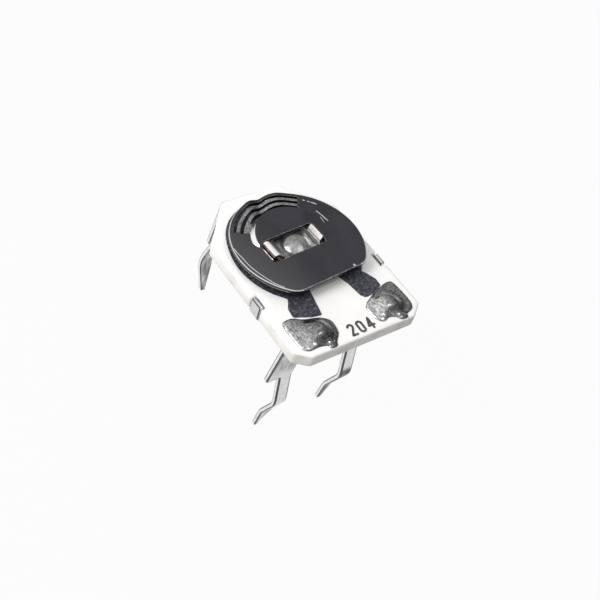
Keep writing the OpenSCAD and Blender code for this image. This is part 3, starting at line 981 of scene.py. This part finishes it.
def disc_outline():
    """A circle with a flat front edge and rounded corners."""
    c = DISC_CORNER
    x = np.sqrt((DISC_R - c) ** 2 - (DISC_FLAT - c) ** 2)
    turn = degrees(atan2(-(DISC_FLAT - c), x))
    return (arc((0, 0), DISC_R, turn, 180 - turn) + arc((-x, c - DISC_FLAT), c, 180 - turn, 270)
            + arc((x, c - DISC_FLAT), c, -90, turn))


def raised_wall(t):
    """Width of the wall round the raised middle: wide at the crescent, which is painted as a highlight."""
    return WALL_W + CRESCENT_W * step_up((t - CRESCENT_FROM) / 35) * step_up((CRESCENT_TO - t) / 10)


def finger_wave(r, t):
    """Ripple across the fingers: a dip towards the track, between two crests."""
    along = np.radians(t - DIP_AT - DIP_LEAN * (DISC_R - r)) * r
    wave = sum(height * np.exp(-((along - at) / reach) ** 2) for at, height, reach in RIPPLES)
    return wave * step_up((r - RIPPLE_R) / 0.2)


def raised_share(x, y):
    """1 on the raised middle, 0 past its wall, which is steep at the rear and soft at the front."""
    r, t = polar(x, y - RAISED_Y)
    past = (t - 90) % 360 + 90
    front = step_up((past - SOFT_FROM) / 10) * step_up((SOFT_TO - past) / 25)
    width = raised_wall(t)
    steep = step_up((RAISED_R + width - r) / width)
    soft = step_up((RAISED_R + SOFT_OUT - r) / SOFT_W)
    return steep * (1 - front) + soft * front


def disc_height(x, y):
    """Height of the disc's top face: a tilted sheet with waved fingers and a raised, level middle."""
    sheet = DISC_TOP - tan(TILT) * y
    return sheet + finger_wave(*polar(x, y)) + (RAISED_TOP - sheet) * raised_share(x, y)


def around(r, t, y=0.0):
    """Points at radius r and directions t round (0, y)."""
    return np.c_[r * np.cos(np.radians(t)), y + r * np.sin(np.radians(t))]


def bright_marks():
    """Middle line and width of each bright mark on the disc: painted highlights, and real scratches and a
    dent.
    """
    t = np.arange(163, 220.5, 1.5)
    # The line inside the front-left rim and the dashes by the slots' ends are painted highlights
    worn = 3.96 - 0.15 * step_up((t - 162) / 14) * step_up((221 - t) / 26)
    rim_line = [(around(worn, t), 0.045)]
    spans = ((45, 46), (41, 42.5), (34, 38))
    dashes = [(np.array(arc((0, 0), 3.6, start, end)), 0.07) for start, end in spans]
    scratches = [(np.array([(2.61, 1.51), (2.67, 1.1), (2.71, 0.5)]), 0.06),
                 (np.array([(2.49, 0.99), (2.37, 0.48)]), 0.03),
                 (np.array([(-2.34, 0.36), (-2.35, 0.0), (-2.34, -0.52)]), 0.06)]
    dent = [(np.array([(1.74, -3.07), (1.75, -3.07)]), 0.12)]
    return rim_line + dashes + scratches + dent


def disc_lines():
    """Open lines that the disc's mesh follows: steps of the raised wall, edges of the bright marks."""
    t = np.arange(42, 173, 1.5)
    shares = np.linspace(0, 1, 5)
    lines = [around(RAISED_R + share * raised_wall(t), t, RAISED_Y) for share in shares]
    for line, width in bright_marks():
        lines += [beside(line, width / 2), beside(line, -width / 2)]
    return lines


def mark_disc(points, faces, kinds):
    """Sets the kinds of the disc's bright marks, its fingers and the edges of its openings."""
    mid = middles(points, faces)[:, :2]
    r, t = polar(*mid.T)
    from_middle, direction = polar(mid[:, 0], mid[:, 1] - RAISED_Y)
    face = kinds == FACE
    on_wall = (from_middle > RAISED_R) & (from_middle < RAISED_R + raised_wall(direction))
    # Painted highlight on the crescent of the raised wall
    kinds[face & on_wall & (direction > 62) & (direction < CRESCENT_TO)] = BRIGHT_MARK
    for line, width in bright_marks():
        kinds[face & (near(line, mid) < 0.6 * width)] = BRIGHT_MARK
    slotted = (t > SLOT_FROM) & (t < SLOT_TO) & (r > DISC_R - 3 * FINGER_STEP)
    kinds[face & slotted & (r < DISC_R - FINGER_STEP)] = FINGER
    kinds[(kinds == EDGE) & (r < DISC_R - 0.2)] = FINGER
    kinds[(kinds == EDGE) & (r < 2.6) & (np.abs(mid[:, 1]) < 1)] = FACE


def disc():
    """Spring disc with contact fingers at the rear, a raised middle and a window."""
    h = WINDOW_HALF
    window = rounded([(-WINDOW_LEFT, -h), (WINDOW_RIGHT, -h), (WINDOW_RIGHT, h), (-WINDOW_LEFT, h)], 0.12)
    shape = slab(disc_outline(), [window] + [finger_slot(i) for i in (1, 2, 3)], disc_height,
                 lambda x, y: disc_height(x, y) - SHEET_T, bevel=[0.045, 0.03, 0.02, 0.02, 0.02], grid=0.11,
                 lines=disc_lines())
    mark_disc(*shape)
    looks = [MIRROR, RIM, DISC_SIDE, DISC_SIDE, SCRATCHES_AND_HIGHLIGHT, WORN]
    piece("spring_disc", turned(shape, TURN), looks, "rotor", ["wiper_disc"], sharp=35)


def clip():
    """Strap under the rivet head, wide below the disc; the left lug leans over it, the right one stands."""
    curl_z = RAISED_TOP + CLIP_T / 2 + 0.02
    path = Bend([(-CURL_TIP, curl_z), (-CURL_CREST, curl_z), (-LUG_IN, CLIP_Z), (LUG_IN, CLIP_Z), LUG_TOP],
                [0.13, 0.15, 0.15])
    crest = path.at(0.06 - CURL_CREST, axis=0)
    left_neck = path.at(-CURL_NECK, axis=0)
    foot = path.at(LUG_IN, axis=0)
    right_neck = foot + LUG_NECK
    glint = foot + LUG_GLINT[0]
    glint_end = foot + LUG_GLINT[1]
    bright = foot + LUG_BRIGHT
    w = CLIP_W / 2
    wide = WINDOW_HALF + 0.2
    end = path.length()
    half = [(w, 0), (w, left_neck), (wide, left_neck), (wide, right_neck), (w, right_neck), (w, end)]
    outline = rounded(half + mirrored(half), [0.1, 0.03, 0.1, 0.1, 0.03, 0.1] * 2)
    across = np.linspace(-w + 0.08, w - 0.08, 12)
    lines = [np.c_[across, np.full(len(across), s)] for s in (crest, glint, glint_end, bright)]
    flat = slab(outline, [], CLIP_T / 2, -CLIP_T / 2, bevel=0.04, grid=0.09, lines=lines)
    points, faces, kinds = flat
    along = middles(points, faces)[:, 1]
    face = kinds == FACE
    # Painted shade on the strap; painted highlight on the left lug's crest and tip, the right lug's top and
    # a glint on it
    kinds[face] = SHADED_FACE
    kinds[face & ((along < crest) | (along > bright))] = LIT_LUG_FACE
    kinds[face & (along > glint) & (along < glint_end)] = LIT_LUG_FACE
    looks = [PLATING, PLATING, COPPER, PLATING, LUG_HIGHLIGHT, STRAP_SHADE]
    piece("clip_and_lugs", turned(bent(flat, path, "xz"), TURN), looks, "rotor", ["wiper_clip"])


def rivet():
    """Domed rivet head with a few dents, its shank and the flare under the terminal."""
    h = HEAD_TOP - HEAD_RIM
    ball = (HEAD_R ** 2 + h ** 2) / (2 * h)
    reach = degrees(np.arcsin(HEAD_R / ball)) - 3
    slopes = np.radians(np.linspace(0.7, reach, 22))
    dome = [(ball * sin(a), HEAD_TOP - ball * (1 - cos(a))) for a in slopes]
    head = [(HEAD_R, HEAD_RIM - 0.02), (HEAD_R, HEAD_UNDER + 0.03), (HEAD_R - 0.03, HEAD_UNDER)]
    shank = [(SHANK_R, HEAD_UNDER), (SHANK_R, FLARE_TOP)]
    low = FLARE_TOP - FLARE_T
    b = FLARE_BEVEL
    flare = [(FLARE_R - b, FLARE_TOP), (FLARE_R, FLARE_TOP - b), (FLARE_R, low + b), (FLARE_R - b, low)]
    hollow = [(HOLLOW_R, low), (HOLLOW_IN, HOLLOW_TOP)]
    shape = lathe(dome + head + shank + flare + hollow)
    points = shape[0]
    lump = points[:, 2] > 0.3
    points[lump, 2] += shake(points[lump], 0.03, 2.1) + shake(points[lump], 0.01, 6)
    piece("rivet", shape, [RIVET], "rotor", ["hub_rivet"], sharp=50)


# ---- floor, light and camera ---------------------------------------------------

# Floor: half its side in metres, its grey, and how much of it is plain white backdrop
FLOOR_HALF = 0.5
FLOOR_GREY = 0.42
BACKDROP = 0.95

# World: its brightest direction; its strength rises from low to high between two cosines to it
BRIGHT_FROM = (-0.5, 0.45, 0.74)
COS_LOW = -0.5
COS_HIGH = 0.9
WORLD_LOW = 0.1
WORLD_HIGH = 0.92

# Camera: angles in degrees, aim, distance and lens in millimetres
CAMERA_AZIMUTH = -49.29
CAMERA_ELEVATION = 46.73
CAMERA_ROLL = 19.72
CAMERA_AIM = (-2.022, -3.372, 0)
CAMERA_DISTANCE = 60.21
CAMERA_LENS = 64.84


def floor_look():
    """A grey floor that the camera and the metal see as a white backdrop with a faint shadow."""
    m = Mat("floor", grey(FLOOR_GREY), roughness=0.9)
    glow = m.node("ShaderNodeEmission")
    glow.inputs["Strength"].default_value = 1.0
    path = m.node("ShaderNodeLightPath")
    seen = m.node("ShaderNodeMath", operation="MAXIMUM")
    share = m.node("ShaderNodeMath", operation="MULTIPLY")
    share.inputs[1].default_value = BACKDROP
    mix = m.node("ShaderNodeMixShader")
    m.link(path.outputs["Is Camera Ray"], seen.inputs[0])
    m.link(path.outputs["Is Glossy Ray"], seen.inputs[1])
    m.link(seen.outputs[0], share.inputs[0])
    m.link(share.outputs[0], mix.inputs[0])
    m.link(m.b.outputs[0], mix.inputs[1])
    m.link(glow.outputs[0], mix.inputs[2])
    m.link(mix.outputs[0], m.t.nodes["Material Output"].inputs["Surface"])
    return m.m


def floor():
    """A square under the tips of the pins."""
    z = cad_box[0][2]
    s = FLOOR_HALF
    me = bpy.data.meshes.new("floor")
    me.from_pydata([(-s, -s, z), (s, -s, z), (s, s, z), (-s, s, z)], [], [(0, 1, 2, 3)])
    me.materials.append(floor_look())
    o = bpy.data.objects.new("floor", me)
    bpy.context.scene.collection.objects.link(o)


def lamp(name, at, size, power, aim=(0, -1, -2)):
    """A round soft lamp; places and size in millimetres, power in watts."""
    data = bpy.data.lights.new(name, "AREA")
    data.shape = "DISK"
    data.size = size * MM
    data.energy = power
    o = bpy.data.objects.new(name, data)
    o.location = Vector(at) * MM
    o.rotation_euler = (Vector(aim) * MM - o.location).to_track_quat("-Z", "Y").to_euler()
    bpy.context.scene.collection.objects.link(o)


def studio():
    """A white studio that is brighter to the upper left; the camera itself sees plain white."""
    world = bpy.data.worlds.new("world")
    bpy.context.scene.world = world
    world.use_nodes = True
    t = world.node_tree
    coord = t.nodes.new("ShaderNodeTexCoord")
    dot = t.nodes.new("ShaderNodeVectorMath")
    dot.operation = "DOT_PRODUCT"
    dot.inputs[1].default_value = Vector(BRIGHT_FROM).normalized()
    ramp = t.nodes.new("ShaderNodeMapRange")
    ramp.interpolation_type = "SMOOTHSTEP"
    ramp.inputs["From Min"].default_value = COS_LOW
    ramp.inputs["From Max"].default_value = COS_HIGH
    ramp.inputs["To Min"].default_value = WORLD_LOW
    ramp.inputs["To Max"].default_value = WORLD_HIGH
    path = t.nodes.new("ShaderNodeLightPath")
    most = t.nodes.new("ShaderNodeMath")
    most.operation = "MAXIMUM"
    sky = t.nodes["Background"]
    sky.inputs["Color"].default_value = (1, 1, 1, 1)
    t.links.new(coord.outputs["Generated"], dot.inputs[0])
    t.links.new(dot.outputs["Value"], ramp.inputs["Value"])
    t.links.new(path.outputs["Is Camera Ray"], most.inputs[0])
    t.links.new(ramp.outputs["Result"], most.inputs[1])
    t.links.new(most.outputs[0], sky.inputs["Strength"])
    lamp("key", at=(-100, 28, 88), size=60, power=0.105)
    lamp("spark", at=(28, -34, 120), size=20, power=0.015)


def make_camera():
    """The camera, by its angles round the point that it aims at."""
    az = radians(CAMERA_AZIMUTH)
    el = radians(CAMERA_ELEVATION)
    roll = radians(CAMERA_ROLL)
    back = Vector((sin(az) * cos(el), -cos(az) * cos(el), sin(el)))
    level = Vector((cos(az), sin(az), 0))
    up = back.cross(level)
    right = cos(roll) * level + sin(roll) * up
    top = -sin(roll) * level + cos(roll) * up
    camera = bpy.data.objects.new("camera", bpy.data.cameras.new("camera"))
    camera.matrix_world = Matrix((right, top, back)).transposed().to_4x4()
    camera.location = Vector(CAMERA_AIM) * MM + back * CAMERA_DISTANCE * MM
    camera.data.lens = CAMERA_LENS
    camera.data.clip_start = 0.002
    bpy.context.scene.collection.objects.link(camera)
    bpy.context.scene.camera = camera


# ---- the part and its scene ------------------------------------------------------

make_camera()
ceramic_plate()
track()
for name in SIDES:
    solder_joint(name)
    end_terminal(name)
wiper_terminal()
disc()
clip()
rivet()

# The printed figures keep the shape of their CAD node.
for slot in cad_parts["value_marking"].material_slots:
    slot.material = INK

floor()
studio()
bpy.context.scene.view_settings.view_transform = "Standard"
